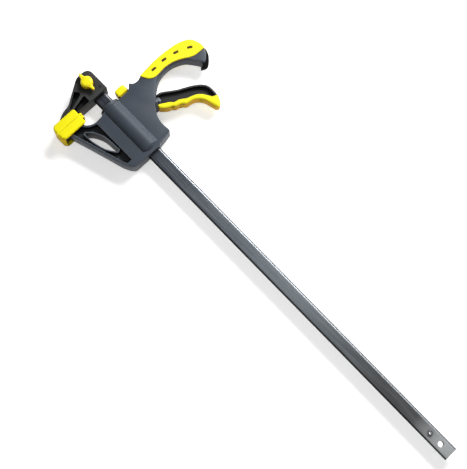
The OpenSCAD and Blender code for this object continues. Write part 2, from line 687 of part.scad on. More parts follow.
module trigger() {
    color(slate) difference() {
        union() {
            slab(trigger_outline, -trig_h, trig_h, 0.8, 0.8);
            linear_extrude(2 * trig_h, center = true) polygon(reverse(trigger_root));
        }
        for (s = [-1, 1]) translate([0, 0, s * (trig_h + 1.8) / 2])
            linear_extrude(trig_h - 1.78, center = true) trigger_recess();
        for (s = [-1, 1]) translate([pivot.x, pivot.y, s * (cam_h + trig_h) / 2])
            linear_extrude(trig_h - cam_h + 2 * cam_show, center = true)
                polygon([[-3.6, 9.4], [5.4, 9.4], [5.4, 16.8], [-3.1, 16.8]]);
        translate([0, 0, -cam_h]) linear_extrude(2 * cam_h) trigger_cam_section();
        hole(pivot.x, pivot.y, pin_d / 2 + pin_fit, -20, 20);
    }
}

// The recess between the rims of the trigger
module trigger_recess() {
    offset(r = 1) offset(delta = -3.4) intersection() {
        polygon(trigger_outline);
        translate([0, 42]) square([200, 200]);
    }
}

module trigger_cam() {
    color(zinc) difference() {
        translate([0, 0, -cam_h]) linear_extrude(2 * cam_h) trigger_cam_section();
        hole(pivot.x, pivot.y, pin_d / 2 + pin_fit, -20, 20);
    }
}

module trigger_pin() {
    color(zinc) hole(pivot.x, pivot.y, pin_d / 2, -half_t + 1, half_t - 1);
}

module trigger_pad() {
    finger_n = len(finger_side);
    edges = [for (i = [0:len(trigger_pad_outline) - 1])
        i >= finger_n ? 0.6 : trigger_pad_outline[i].x > 94 ? 3.4 : 2.2];
    dents = [[65.3, 53.4, 57], [70.5, 63.2, 58], [82.4, 84.6, 33]];
    color(yellow) difference() {
        slab(trigger_pad_outline, -pad_h, pad_h, edges, edges);
        linear_extrude(2 * trig_h, center = true) polygon(trigger_outline);
        linear_extrude(2 * trig_h, center = true) polygon(reverse(trigger_root));
        for (q = dents, s = [-1, 1]) translate([q.x, q.y, s * 4.4]) rotate(q[2])
            cube([5.6, 2.6, 3.2], center = true);
    }
}

bar();
stop_pin();
fixed_jaw();
fixed_pad();
lock_nut();
knob_washer();
wing_knob();
lock_screw();
front_shell();
rear_shell();
shell_screws();
grip_front();
grip_rear();
hang_hook();
slide_pad();
brake_plate();
brake_spring();
release_button();
drive_plate_a();
drive_plate_b();
drive_spring();
spring_washer();
trigger();
trigger_pad();
trigger_pin();
trigger_cam();
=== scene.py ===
import math

import bpy
from mathutils import Matrix, Vector

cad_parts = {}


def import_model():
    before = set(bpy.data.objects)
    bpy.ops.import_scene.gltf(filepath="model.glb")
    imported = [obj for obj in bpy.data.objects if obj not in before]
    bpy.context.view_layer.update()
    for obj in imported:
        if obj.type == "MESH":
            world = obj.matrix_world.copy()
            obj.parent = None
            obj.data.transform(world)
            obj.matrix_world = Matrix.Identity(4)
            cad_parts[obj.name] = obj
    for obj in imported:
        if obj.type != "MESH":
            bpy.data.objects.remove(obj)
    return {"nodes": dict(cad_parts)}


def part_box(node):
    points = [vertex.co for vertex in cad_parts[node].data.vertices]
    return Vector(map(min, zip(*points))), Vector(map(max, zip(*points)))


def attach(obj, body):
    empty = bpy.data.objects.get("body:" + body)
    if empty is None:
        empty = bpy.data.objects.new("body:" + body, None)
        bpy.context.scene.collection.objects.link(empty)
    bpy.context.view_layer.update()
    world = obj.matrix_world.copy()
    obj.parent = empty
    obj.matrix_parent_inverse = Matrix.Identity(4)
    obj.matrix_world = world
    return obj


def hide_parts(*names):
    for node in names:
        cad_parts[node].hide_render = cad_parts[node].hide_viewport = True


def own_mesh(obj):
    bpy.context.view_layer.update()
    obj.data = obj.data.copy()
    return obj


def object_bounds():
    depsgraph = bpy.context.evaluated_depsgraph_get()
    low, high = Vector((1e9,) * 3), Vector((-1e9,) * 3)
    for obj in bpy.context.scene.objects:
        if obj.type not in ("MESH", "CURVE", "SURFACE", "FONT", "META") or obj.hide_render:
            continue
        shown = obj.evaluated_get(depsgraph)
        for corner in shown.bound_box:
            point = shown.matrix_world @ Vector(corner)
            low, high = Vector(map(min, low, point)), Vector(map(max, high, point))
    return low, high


# A one-handed quick release bar clamp that lies on a pale floor, in the frame of its record.
# Mesh code is in millimetres. Shaders, lights and the floor are in metres, and MM turns the one
# into the other.

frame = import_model()
CAD_BOX = [list(c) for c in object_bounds()]
nodes = frame["nodes"]
scene = bpy.context.scene
MM = 0.001
for old in list(bpy.data.materials):
    bpy.data.materials.remove(old)


# ---- Shader helpers ----

BEVEL_SAMPLES, HOLLOW_SAMPLES = 6, 8
EVEN = (1, 1, 1)                                # a stretch that leaves every axis as it is
WHITE = (1, 1, 1)


class Shader:
    """A material's node tree, with short calls for the nodes that this scene uses."""

    def __init__(self, name):
        self.material = bpy.data.materials.new(name)
        self.material.use_nodes = True
        self.tree = self.material.node_tree
        self.tree.nodes.clear()
        out = self.node("ShaderNodeOutputMaterial")
        self.bsdf = self.node("ShaderNodeBsdfPrincipled")
        self.link(self.bsdf.outputs[0], out.inputs["Surface"])
        self.place = self.node("ShaderNodeTexCoord").outputs["Object"]

    def node(self, kind, **settings):
        made = self.tree.nodes.new(kind)
        for key, value in settings.items():
            setattr(made, key, value)
        return made

    def link(self, a, b):
        self.tree.links.new(a, b)

    def put(self, socket, value):
        """Gives a socket its value: another node's output, a number or a colour."""
        if isinstance(value, bpy.types.NodeSocket):
            self.link(value, socket)
        elif isinstance(value, (int, float)):
            socket.default_value = value
        else:
            socket.default_value = (*value, 1)

    def set(self, **values):
        """Puts values into the surface's inputs, whose names have _ for a space here."""
        for key, value in values.items():
            self.put(self.bsdf.inputs[key.replace("_", " ")], value)

    def axes(self, vector):
        made = self.node("ShaderNodeSeparateXYZ")
        self.link(vector, made.inputs[0])
        return made.outputs

    def noise(self, scale, detail=2, roughness=0.5, stretch=EVEN):
        """Noise of a scale in waves per metre, on places times the stretch of each axis."""
        place = self.node("ShaderNodeMapping")
        place.inputs["Scale"].default_value = stretch
        self.link(self.place, place.inputs["Vector"])
        made = self.node("ShaderNodeTexNoise")
        for key, value in (("Scale", scale), ("Detail", detail), ("Roughness", roughness)):
            made.inputs[key].default_value = value
        self.link(place.outputs[0], made.inputs["Vector"])
        return made.outputs["Fac"]

    def ramp(self, value, low, high, a=0.0, b=1.0):
        """Straight from a where the value is low to b where it is high, and level beyond."""
        made = self.node("ShaderNodeMapRange")
        numbers = {"Value": value, "From Min": low, "From Max": high, "To Min": a, "To Max": b}
        for key, v in numbers.items():
            self.put(made.inputs[key], v)
        return made.outputs[0]

    def calc(self, kind, a, b=0.0):
        made = self.node("ShaderNodeMath", operation=kind)
        self.put(made.inputs[0], a)
        self.put(made.inputs[1], b)
        return made.outputs[0]

    def mix(self, factor, a, b):
        """Colour a where the factor is 0, and b where it is 1."""
        made = self.node("ShaderNodeMix", data_type="RGBA")
        for i, value in ((0, factor), (6, a), (7, b)):
            self.put(made.inputs[i], value)
        return made.outputs[2]

    def round_normal(self, radius):
        made = self.node("ShaderNodeBevel", samples=BEVEL_SAMPLES)
        made.inputs["Radius"].default_value = radius
        return made.outputs[0]

    def edges(self, radius):
        """1 on edges sharper than the radius, 0 on flat faces."""
        true_normal = self.node("ShaderNodeNewGeometry").outputs["Normal"]
        dot = self.node("ShaderNodeVectorMath", operation="DOT_PRODUCT")
        self.link(self.round_normal(radius), dot.inputs[0])
        self.link(true_normal, dot.inputs[1])
        return self.ramp(dot.outputs["Value"], 1.0, 0.85)

    def painted_hollow_shade(self, reach, low=0.3, high=0.86):
        """A mask for painted shade: 1 in the bottom of recesses and narrow gaps, 0 on open faces.
        """
        made = self.node("ShaderNodeAmbientOcclusion", samples=HOLLOW_SAMPLES)
        made.inputs["Distance"].default_value = reach
        return self.ramp(made.outputs["AO"], low, high, 1.0, 0.0)

    def sides(self):
        """1 on faces that look along the bar or the handle, 0 on faces that look along Z; a mask
        for painted shade.
        """
        normal = self.axes(self.node("ShaderNodeTexCoord").outputs["Normal"])
        return self.ramp(self.calc("ABSOLUTE", normal["Z"]), 0.75, 0.2)

    def bump(self, heights, distance, strength, radius):
        """Bump from a height, over a normal that is rounded at the edges by the radius."""
        made = self.node("ShaderNodeBump")
        made.inputs["Strength"].default_value = strength
        made.inputs["Distance"].default_value = distance
        self.link(heights, made.inputs["Height"])
        self.link(self.round_normal(radius), made.inputs["Normal"])
        self.link(made.outputs[0], self.bsdf.inputs["Normal"])


def srgb(*levels):
    """A colour given in 0 to 255 as it looks on screen, as linear light."""
    def linear(v):
        return v / 12.92 if v <= 0.04045 else ((v + 0.055) / 1.055) ** 2.4

    return tuple(linear(v / 255) for v in levels)


# ---- Plastic and rubber ----

CLOUDS, GRAIN, SCUFF_AND_HIGHLIGHT = 38, 2600, 420           # noise, in waves per metre
LUGS_FROM_Y, LUGS_FROM_Z = 60 * MM, 10.2 * MM


def lug_tops(s):
    """1 on the shells' lugs that stand in the slots of the inlay, where painted shade goes; 0
    elsewhere.
    """
    place = s.axes(s.place)
    high = s.calc("GREATER_THAN", place["Y"], LUGS_FROM_Y)
    proud = s.calc("GREATER_THAN", s.calc("ABSOLUTE", place["Z"]), LUGS_FROM_Z)
    return s.calc("MULTIPLY", high, proud)


def moulded(name, colour, edge_wear_highlight_colour, hollow_shade_colour, roughness, grain=0.04 * MM, edge=0.5 * MM,
            edge_wear_and_highlight=0.9, reach=17 * MM, shine=0.3, sheen=0.0, side=None, lugs=None):
    """Moulded plastic: spark-eroded grain and faint flow clouds, with edges lightened partly by
    rubbing and partly as a painted highlight, and painted shade in hollows and on side faces.

    grain is the depth of the grain, edge how wide the edges are lightened and the next argument
    how strongly, partly as rubbing and partly as a painted highlight, reach how far off a
    neighbour still casts painted shade into a hollow, side the painted shade of the side faces,
    and lugs the painted shade on the lugs' tops in the inlay's slots.
    """
    s = Shader(name)
    clouds = s.noise(CLOUDS, 3)
    fine = s.noise(GRAIN)
    dark, light = [[v * k for v in colour] for k in (0.93, 1.07)]
    tone = s.mix(s.ramp(clouds, 0.3, 0.7), dark, light)
    # Painted shade: faces that look along the bar or the handle turned a warmer, orange tone
    if side:
        part = s.calc("MULTIPLY", s.sides(), s.ramp(clouds, 0.2, 0.8, 0.8, 1.0))
        tone = s.mix(part, tone, side)
    speck = [min(1, v * 1.3) for v in colour]
    tone = s.mix(s.ramp(fine, 0.35, 0.75, 0, 0.25), tone, speck)
    # Edges lightened in patches, partly as rubbing and partly as a painted highlight
    scuffs_and_highlight = s.ramp(s.noise(SCUFF_AND_HIGHLIGHT, 3), 0.3, 0.75, edge_wear_and_highlight * 0.25, edge_wear_and_highlight)
    tone = s.mix(s.calc("MULTIPLY", s.edges(edge), scuffs_and_highlight), tone, edge_wear_highlight_colour)
    # Painted shade: recesses and narrow gaps darkened towards the hollow colour
    tone = s.mix(s.painted_hollow_shade(reach), tone, hollow_shade_colour)
    # Painted shade: the lugs' tops in the inlay's slots turned dark brown
    if lugs:
        tone = s.mix(lug_tops(s), tone, lugs)
    s.set(Base_Color=tone, Specular_IOR_Level=shine, Sheen_Weight=sheen,
          Roughness=s.ramp(clouds, 0.2, 0.8, roughness - 0.05, roughness + 0.06))
    s.bump(fine, grain, 0.5, edge * 0.8)
    return s.material


# Each plastic: its colour, its edges' colour of rubbing and painted highlight, and the painted
# shade of its hollows
SLATE = moulded(
    "slate_plastic", srgb(60, 67, 77), srgb(140, 147, 154), srgb(8, 9, 12),
    roughness=0.46, edge=1 * MM, lugs=srgb(74, 58, 10))
SLATE_DARK = moulded(
    "slate_plastic_dark", srgb(54, 55, 55), srgb(104, 106, 108), srgb(4, 4, 6),
    roughness=0.5, edge=0.7 * MM, edge_wear_and_highlight=0.7, shine=0.22)
BLACK = moulded(
    "black_plastic", srgb(8, 8, 9), srgb(20, 21, 24), srgb(2, 2, 2),
    roughness=0.65, shine=0.08)
YELLOW = moulded(
    "yellow_plastic", srgb(252, 238, 26), srgb(255, 248, 130), srgb(150, 96, 0),
    roughness=0.34, grain=0.02 * MM, reach=5 * MM, side=srgb(240, 190, 4))
RUBBER = moulded(
    "yellow_rubber", srgb(252, 240, 20), srgb(255, 248, 90), srgb(120, 74, 0),
    roughness=0.6, grain=0.06 * MM, edge=0.7 * MM, edge_wear_and_highlight=0.5, reach=3 * MM, shine=0.12,
    side=srgb(255, 206, 0))
GRIP_RUBBER = moulded(
    "yellow_rubber_grip", srgb(252, 240, 24), srgb(255, 248, 110), srgb(110, 56, 0),
    roughness=0.6, grain=0.06 * MM, edge=0.7 * MM, edge_wear_and_highlight=0.5, reach=5 * MM, shine=0.25,
    sheen=0.1, side=srgb(246, 172, 0))


# ---- Steel ----

# Painted reflection along the bar's X: its colour from that at the head end to the next ones,
# each between two places
HEAD_PAINTED_REFLECTION = srgb(38, 46, 60)
BAR_PAINTED_REFLECTIONS = [(140, 300, srgb(114, 122, 128)), (340, 460, srgb(74, 75, 74)),
             (520, 565, srgb(215, 218, 218))]
# Painted shade on its rounded sides across Y, in the same way, and a painted highlight line along
# one side
BAR_SIDE_SHADES = [(6.6, 7.2, srgb(64, 69, 74)), (7.8, 8.6, srgb(30, 33, 37)),
             (-7.0, -8.0, srgb(18, 19, 22))]
HIGHLIGHT_IN, HIGHLIGHT_OUT = (5.7, 6.1), (7.3, 6.8)
# Noise, in waves per metre, and how much it is drawn out along the bar
DRAWN_LINES, DRAWN_OUT = 900, (0.02, 1, 1)
TARNISH, TARNISH_OUT = 16, (0.6, 1, 1)
SCALE_MARKS, SCALE_OUT = 130, (0.5, 1, 1)
PLATING, PLATING_GRAIN = 220, 1500


def bar_steel():
    """Dull drawn steel: tarnish, drawn lines, spots, and painted reflection, shade and highlight.
    """
    s = Shader("bar_steel")
    place = s.axes(s.place)
    lines = s.noise(DRAWN_LINES, 4, 0.6, DRAWN_OUT)
    tarnish = s.noise(TARNISH, 4, 0.55, TARNISH_OUT)
    marks = s.noise(SCALE_MARKS, 5, 0.7, SCALE_OUT)
    # Painted reflection: the bar's colour changes along X as listed above
    tone = HEAD_PAINTED_REFLECTION
    for start, end, colour in BAR_PAINTED_REFLECTIONS:
        tone = s.mix(s.ramp(place["X"], start * MM, end * MM), tone, colour)
    tone = s.mix(s.ramp(tarnish, 0.35, 0.68, 0, 0.5), tone, srgb(88, 94, 100))
    tone = s.mix(s.ramp(lines, 0.38, 0.66, 0, 0.3), tone, srgb(140, 144, 148))
    # Painted shade on the bar's rounded sides
    for start, end, colour in BAR_SIDE_SHADES:
        tone = s.mix(s.ramp(place["Y"], start * MM, end * MM), tone, colour)
    # Painted highlight: a bright line along the rounded +Y side, in one colour with the scratch
    # marks
    rise, fall = [s.ramp(place["Y"], a * MM, b * MM) for a, b in (HIGHLIGHT_IN, HIGHLIGHT_OUT)]
    highlight_line = s.calc("MULTIPLY", s.calc("MULTIPLY", rise, fall), s.ramp(lines, 0.3, 0.6, 0.8, 1.0))
    scratches_and_highlight = s.calc("MAXIMUM", s.ramp(marks, 0.71, 0.8, 0, 0.6), highlight_line)
    tone = s.mix(scratches_and_highlight, tone, srgb(176, 181, 186))
    # Painted shade in narrow gaps, as on the bar between the fixed jaw and the housing
    tone = s.mix(s.painted_hollow_shade(40 * MM, 0.35, 0.97), tone, srgb(10, 11, 14))
    s.set(Base_Color=tone, Metallic=0.75, Roughness=s.ramp(lines, 0.3, 0.7, 0.4, 0.52))
    s.bump(lines, 0.02 * MM, 0.35, 0.4 * MM)
    return s.material


def plated(name, colour, dark, roughness, stretch=EVEN):
    """Plated or hardened steel, with a cloudy colour and a fine grain."""
    s = Shader(name)
    clouds = s.noise(PLATING, 4, 0.6, stretch)
    fine = s.noise(PLATING_GRAIN, 3, 0.6, stretch)
    s.set(Base_Color=s.mix(s.ramp(clouds, 0.35, 0.7), dark, colour), Metallic=1.0,
          Roughness=s.ramp(fine, 0.3, 0.7, roughness - 0.06, roughness + 0.1))
    s.bump(fine, 0.02 * MM, 0.4, 0.3 * MM)
    return s.material


BAR = bar_steel()
ZINC = plated("zinc_steel", srgb(136, 140, 148), srgb(104, 108, 116), 0.42)
PLATE = plated("plate_steel", srgb(150, 150, 150), srgb(120, 121, 122), 0.36, (1, 1, 0.2))
SPRING = plated("spring_steel", srgb(140, 142, 146), srgb(110, 112, 116), 0.28)


# ---- Finish of the CAD nodes ----

FINISH = [
    (BAR, "bar_steel", ["bar"]),
    (ZINC, "zinc_steel", ["stop_pin", "lock_nut", "knob_washer", "lock_screw", "shell_screws",
                          "trigger_pin", "spring_washer", "trigger_cam"]),
    (PLATE, "plate_steel", ["brake_plate", "drive_plate_a", "drive_plate_b"]),
    (SPRING, "spring_steel", ["brake_spring", "drive_spring"]),
    (SLATE, "slate_plastic", ["front_shell", "rear_shell"]),
    (SLATE_DARK, "slate_plastic", ["fixed_jaw", "trigger"]),
    (BLACK, "black_plastic", ["hang_hook"]),
    (YELLOW, "yellow_plastic", ["wing_knob", "release_button"]),
    (RUBBER, "yellow_rubber", ["fixed_pad", "slide_pad"]),
    (GRIP_RUBBER, "yellow_rubber", ["grip_front", "grip_rear", "trigger_pad"]),
]
CREASE, SHELL_CREASE = 32, 26                   # degrees between faces that are shaded apart
WELD = 0.001 * MM


def smooth(o, crease):
    """Shades an object smoothly up to an angle, or all over if that is None.

    Its own vertices stay as they are.
    """
    for p in o.data.polygons:
        p.use_smooth = True
    if crease is None:
        return
    weld = o.modifiers.new("weld", "WELD")
    weld.merge_threshold = WELD
    split = o.modifiers.new("split", "EDGE_SPLIT")
    split.split_angle = math.radians(crease)
    split.use_edge_sharp = False


for material, slot, names in FINISH:
    for name in names:
        mesh = nodes[name].data
        mesh.materials.clear()
        mesh.materials.append(material)
        for p in mesh.polygons:
            p.material_index = 0
        smooth(nodes[name], SHELL_CREASE if slot == "slate_plastic" else CREASE)


# ---- Outlines, in millimetres ----

ARC_STEP = 12                                   # degrees
CURVE_STEPS = 4


def circle(x, y, r, n=32, start=0.0):
    """The corners of a circle or a regular polygon, the first at an angle of start degrees."""
    turns = [math.radians(start) + math.tau * i / n for i in range(n)]
    return [(x + r * math.cos(a), y + r * math.sin(a)) for a in turns]


def rounded(corners):
    """An outline of corners (x, y, radius), with true arcs."""
    out = []
    for i, (x, y, r) in enumerate(corners):
        here = Vector((x, y))
        if not r:
            out.append(here)
            continue
        a = (Vector(corners[i - 1][:2]) - here).normalized()
        b = (Vector(corners[(i + 1) % len(corners)][:2]) - here).normalized()
        half = a.angle(b) / 2
        middle = here + (a + b).normalized() * r / math.sin(half)
        start = here + a * r / math.tan(half) - middle
        end = here + b * r / math.tan(half) - middle
        first = math.atan2(start.y, start.x)
        swing = (math.atan2(end.y, end.x) - first + 3 * math.pi) % math.tau - math.pi
        n = max(1, math.ceil(abs(math.degrees(swing)) / ARC_STEP))
        for k in range(n + 1):
            turn = first + swing * k / n
            out.append(middle + r * Vector((math.cos(turn), math.sin(turn))))
    return out


def curve(points):
    """A smooth curve through points (Catmull-Rom)."""
    p = [Vector(q) for q in points]
    last = len(p) - 1
    out = []
    for i in range(last):
        a, b, c, d = p[max(i - 1, 0)], p[i], p[i + 1], p[min(i + 2, last)]
        for k in range(CURVE_STEPS):
            t = k / CURVE_STEPS
            out.append(0.5 * (2 * b + (c - a) * t + (2 * a - 5 * b + 4 * c - d) * t * t
                              + (3 * b - a - 3 * c + d) * t * t * t))
    return out + [p[last]]


def closer(outline, step):
    """The outline with points added, so that no two are further apart than the step."""
    out = []
    for i, p in enumerate(outline):
        q = outline[(i + 1) % len(outline)]
        n = max(1, math.ceil((q - p).length / step))
        out += [p.lerp(q, k / n) for k in range(n)]
    return out


def inward(points):
    """The way in at each corner of an anticlockwise outline, sized to move its sides by 1."""
    ways = []
    for i, p in enumerate(points):
        a = (p - points[i - 1]).normalized()
        b = (points[(i + 1) % len(points)] - p).normalized()
        ways.append(Vector((-a.y - b.y, a.x + b.x)) / max(0.5, 1 + a.dot(b)))
    return ways


# ---- Objects ----

def placed(name, data):
    """A new object in the scene."""
    o = bpy.data.objects.new(name, data)
    scene.collection.objects.link(o)
    return o


def copied(name, node):
    """A new object with a copy of a CAD node's mesh."""
    return placed(name, bpy.data.meshes.new_from_object(nodes[node]))


def piece(name, points, faces):
    """A new object from points in millimetres."""
    mesh = bpy.data.meshes.new(name)
    mesh.from_pydata([[v * MM for v in p] for p in points], [], faces)
    return placed(name, mesh)


def baked(o):
    """Works the object's modifiers into its mesh."""
    seen = o.evaluated_get(bpy.context.evaluated_depsgraph_get())
    mesh = bpy.data.meshes.new_from_object(seen)
    o.modifiers.clear()
    old, o.data = o.data, mesh
    bpy.data.meshes.remove(old)


def joined(o, others, operation):
    """Adds the others to the object, or cuts them from it, and removes them."""
    for other in others:
        change = o.modifiers.new("join", "BOOLEAN")
        change.operation, change.solver, change.object = operation, "MANIFOLD", other
        baked(o)
        bpy.data.objects.remove(other)


def finished(o, body, material, node, crease=CREASE):
    """Gives a piece its finish and body, in the place of a CAD node."""
    o.data.materials.clear()
    o.data.materials.append(material)
    smooth(o, crease)
    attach(o, body)
    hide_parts(node)


def loft(name, outline, rings, turn=lambda x, y, z: (x, y, z)):
    """A closed solid through rings of one outline.

    A ring is a function that gives a corner's height and how far in it lies.
    """
    points = [Vector(p[:2]) for p in outline]
    ways = inward(points)
    n = len(points)
    made = []
    for ring in rings:
        for p, way in zip(points, ways):
            z, inset = ring(p)
            q = p + way * inset
            made.append(turn(q.x, q.y, z))
    faces = [tuple(reversed(range(n))), tuple(range(len(made) - n, len(made)))]
    for k in range(len(rings) - 1):
        for i in range(n):
            j = (i + 1) % n
            faces.append((k * n + i, k * n + j, k * n + n + j, k * n + n + i))
    return piece(name, made, faces)


def slab(name, outline, z0, z1, radius, steps=5, **more):
    """A solid between two heights, with the edge radius that radius(p) gives at each corner."""
    arc = [math.radians(90 * k / steps) for k in range(steps + 1)]

    def ring(z, side, a):
        return lambda p: (z + side * radius(p) * (1 - math.cos(a)), radius(p) * (1 - math.sin(a)))

    rings = [ring(z0, 1, a) for a in arc] + [ring(z1, -1, a) for a in reversed(arc)]
    return loft(name, outline, rings, **more)


def prism(outline, z0, z1, flare=0.0, **more):
    """An upright solid to cut with, which a chamfer widens to its top, or below 0 to its bottom.

    With a chamfer it goes on for 1 mm beyond that end, so that the cut is clean.
    """
    rings = [(z0, 0), (z1, 0)]
    if flare > 0:
        rings = [(z0, 0), (z1 - flare, 0), (z1, -flare), (z1 + 1, -flare)]
    if flare < 0:
        rings = [(z0 - 1, flare), (z0, flare), (z0 - flare, 0), (z1, 0)]
    return loft("cutter", outline, [lambda p, ring=ring: ring for ring in rings], **more)


def block(a, b, **more):
    """A box between two opposite corners."""
    return prism([(a[0], a[1]), (b[0], a[1]), (b[0], b[1]), (a[0], b[1])], a[2], b[2], **more)


# ---- Fixed jaw ----

JAW_HALF, WEB_HALF = 11, 2.2                    # half of its thickness, and of its pockets' floor
JAW_EDGE = 0.9                                  # radius
HEAD_TOP = 12.5
NECK = (-4.4, -34.5)                            # where the head meets the nose, on the front
NOSE_FACE, NOSE_BACK = -3.85, -6.35             # the pad sits on this part
NOSE_LOW, NOSE_TOP, NOSE_HALF = -66, -36.5, 12.3
HEAD_BACK = [(-30.5, HEAD_TOP), (-33.4, 11.9), (-36, 10.2), (-37.8, 7.4), (-38.5, 4), (-38.5, -1),
             (-37.8, -6.6), (-34.5, -12.6)]
ARM_BACK = [(-34.5, -12.6), (-27.8, -22.6), (-23.2, -29.7), (-19.9, -34.8), (-18.3, -39.6),
            (-17.3, -45), (-15.4, -50.1), (-12.2, -56.1)]
POCKETS = [
    [(-14.4, -38.4, 0.8), (-13.3, -35.6, 0.8), (-19.4, -17, 1.2), (-22.6, -15.6, 1.8),
     (-27, -19.8, 0.8)],
    [(-15.8, -14.3, 1.2), (-10.8, -34.6, 0.8), (-5.9, -34.6, 0.5), (-5.9, -14.3, 0.8)],
]
POCKET_FLARE = 0.35
TUNNEL_Y, TUNNEL_Z, TUNNEL_R, TUNNEL_END = 8.9, 3.1, 2.8, -36.4
KNOB, KNOB_HOLE_R = (-24, -1.6), 3.25
NUT_R, NUT_FLOOR = 6.004, -5.8                  # to the nut's corners
DIMPLES, DIMPLE_R, DIMPLE_FLARE = ((-11.4, 6.6), (-34.6, -8.6)), 1.3, 0.25


def fixed_jaw():
    """The arm with pockets on both faces, the head on the bar's end, and the nose."""
    head = rounded([(*NECK, 0), (NECK[0], HEAD_TOP, 1), (-30, HEAD_TOP, 0)])
    outline = [(NOSE_BACK, -59.5), (NOSE_BACK, -38), NECK] + head[1:-1]
    outline += curve(HEAD_BACK)[:-1] + curve(ARM_BACK)
    jaw = slab("fixed_jaw_body", outline, -JAW_HALF, JAW_HALF, lambda p: JAW_EDGE)
    nose = block((NOSE_BACK, NOSE_LOW, -NOSE_HALF), (NOSE_FACE, NOSE_TOP, NOSE_HALF))
    joined(jaw, [nose], "UNION")
    signs = ((-1, -1), (1, -1), (1, 1), (-1, 1))
    tunnel = rounded([(a * TUNNEL_Y, b * TUNNEL_Z, TUNNEL_R) for a, b in signs])
    cuts = [prism(tunnel, TUNNEL_END, 0, turn=lambda x, y, z: (z, x, y))]
    for corners in POCKETS:
        pocket = rounded(corners)
        cuts.append(prism(pocket, WEB_HALF, JAW_HALF, POCKET_FLARE))
        cuts.append(prism(pocket, -JAW_HALF, -WEB_HALF, -POCKET_FLARE))
    cuts.append(prism(circle(*KNOB, KNOB_HOLE_R), -20, 20))
    cuts.append(prism(circle(*KNOB, NUT_R, 6, 30), -JAW_HALF - 1, NUT_FLOOR))
    for x, y in DIMPLES:
        cuts.append(prism(circle(x, y, DIMPLE_R, 20), JAW_HALF - 1, JAW_HALF, DIMPLE_FLARE))
    joined(jaw, cuts, "DIFFERENCE")
    finished(jaw, "rail", SLATE_DARK, "fixed_jaw", crease=28)


# ---- Shells, with the arch of the handle slimmer than in the CAD ----

# Points along the arch, how far the skin moves in there, and how deep that fades out
ARCH = [(33, 57.8, 0, 3), (30, 63.8, 0.5, 3), (28.2, 70, 1.0, 3), (27.3, 77, 1.3, 3),
        (27.4, 84.5, 1.5, 3.2), (28.8, 91.8, 1.6, 3.2), (31.6, 98.8, 1.8, 3.0),
        (35.4, 104.6, 1.8, 3.0), (40, 109.3, 1.6, 2.6), (45.2, 113.1, 1.6, 2.6),
        (49.2, 115.4, 1.5, 3.4)]
ARCH_REACH = 9                                  # nothing further from the arch moves


def arch_shift(x, y):
    """How far a point of the shells moves to slim the arch."""
    here = Vector((x, y))
    best = None
    for (ax, ay, trim_a, deep_a), (bx, by, trim_b, deep_b) in zip(ARCH, ARCH[1:]):
        a, way = Vector((ax, ay)), Vector((bx - ax, by - ay))
        t = max(0.0, min(1.0, (here - a).dot(way) / way.length_squared))
        off = here - a - way * t
        if best is None or off.length < best[0]:
            inner = Vector((-way.y, way.x)).normalized()
            best = (off.length, off.dot(inner), inner, trim_a + (trim_b - trim_a) * t,
                    deep_a + (deep_b - deep_a) * t)
    away, depth, inner, trim, deep = best
    if away > ARCH_REACH:
        return Vector((0, 0))
    return inner * trim * max(0.0, 1 - max(0.0, depth) / deep)


def shell(name, node):
    """A half of the housing, with its arch slimmed."""
    o = copied(name, node)
    for v in o.data.vertices:
        v.co.xy += arch_shift(v.co.x / MM, v.co.y / MM) * MM
    finished(o, "sliding_jaw", SLATE, node, crease=SHELL_CREASE)


# ---- Pads of the jaws ----

PAD_GAP, PAD_BACK, PAD_LOW, PAD_TOP = 0.05, 11.25, -69.5, -34.7
PAD_HALF = 15                                   # half of its width
PAD_FACE, PAD_WALL, PAD_HOLLOW = 3.8, 3.2, 12.4 # over the nose, below it, half of its hollow
PAD_EDGE, FACE_EDGE, EDGE_GROWTH = 2.3, 0.25, 0.9         # radii, and how they go over
CROWN = [(-11.6, -40, 0), (11.6, -40, 0), (10.8, -30.9, 4.2), (-10.8, -30.9, 4.2)]
CROWN_IN, CROWN_EDGE = 0.2, 1.1
GROOVES = range(8, 31, 5)                       # heights above the pad's low end
GROOVE_DEPTH, GROOVE_HALF = 0.5, 11
PAD_STEP = 0.8                                  # between the points of its outline


def pad(name, side, body, node):
    """A rubber cap over the nose of a jaw, crowned, with its touching face left sharp."""
    def flip(x, y, z):
        return side * x, y, side * z

    def crown_turn(x, y, z):
        return side * z, y, -side * x

    def edge(p):
        return min(PAD_EDGE, FACE_EDGE + max(0, p.x - PAD_GAP) * EDGE_GROWTH)

    outline = rounded([(PAD_GAP, PAD_LOW, 0.5), (PAD_BACK, PAD_LOW, 6),
                       (PAD_BACK, PAD_TOP, 2.4), (PAD_GAP, PAD_TOP, 0.5)])
    cap = slab(name, closer(outline, PAD_STEP), -PAD_HALF, PAD_HALF, edge, 6, turn=flip)
    crown = slab("crown", closer(rounded(CROWN), PAD_STEP), CROWN_IN, PAD_FACE - CROWN_IN,
                 lambda p: CROWN_EDGE, turn=crown_turn)
    joined(cap, [crown], "UNION")
    inside = [block((PAD_GAP + PAD_FACE, PAD_LOW + PAD_WALL, -PAD_HOLLOW),
                    (PAD_BACK + 5, PAD_TOP + 5, PAD_HOLLOW), turn=flip)]
    for height in GROOVES:
        groove = circle(PAD_GAP, PAD_LOW + height, GROOVE_DEPTH, 4)
        inside.append(prism(groove, -GROOVE_HALF, GROOVE_HALF, turn=flip))
    joined(cap, inside, "DIFFERENCE")
    finished(cap, body, RUBBER, node, crease=40)


# ---- Soft grips ----

SLOTS = ((16.6, 68.3), (16.2, 85.3), (19.1, 101.9), (25.8, 118.7))
SEAM_BAND, SLOT_BAND = (0.2, 2), (4.5, 6.5)     # from where to where the easing comes in
SLOT_EASE = 0.25


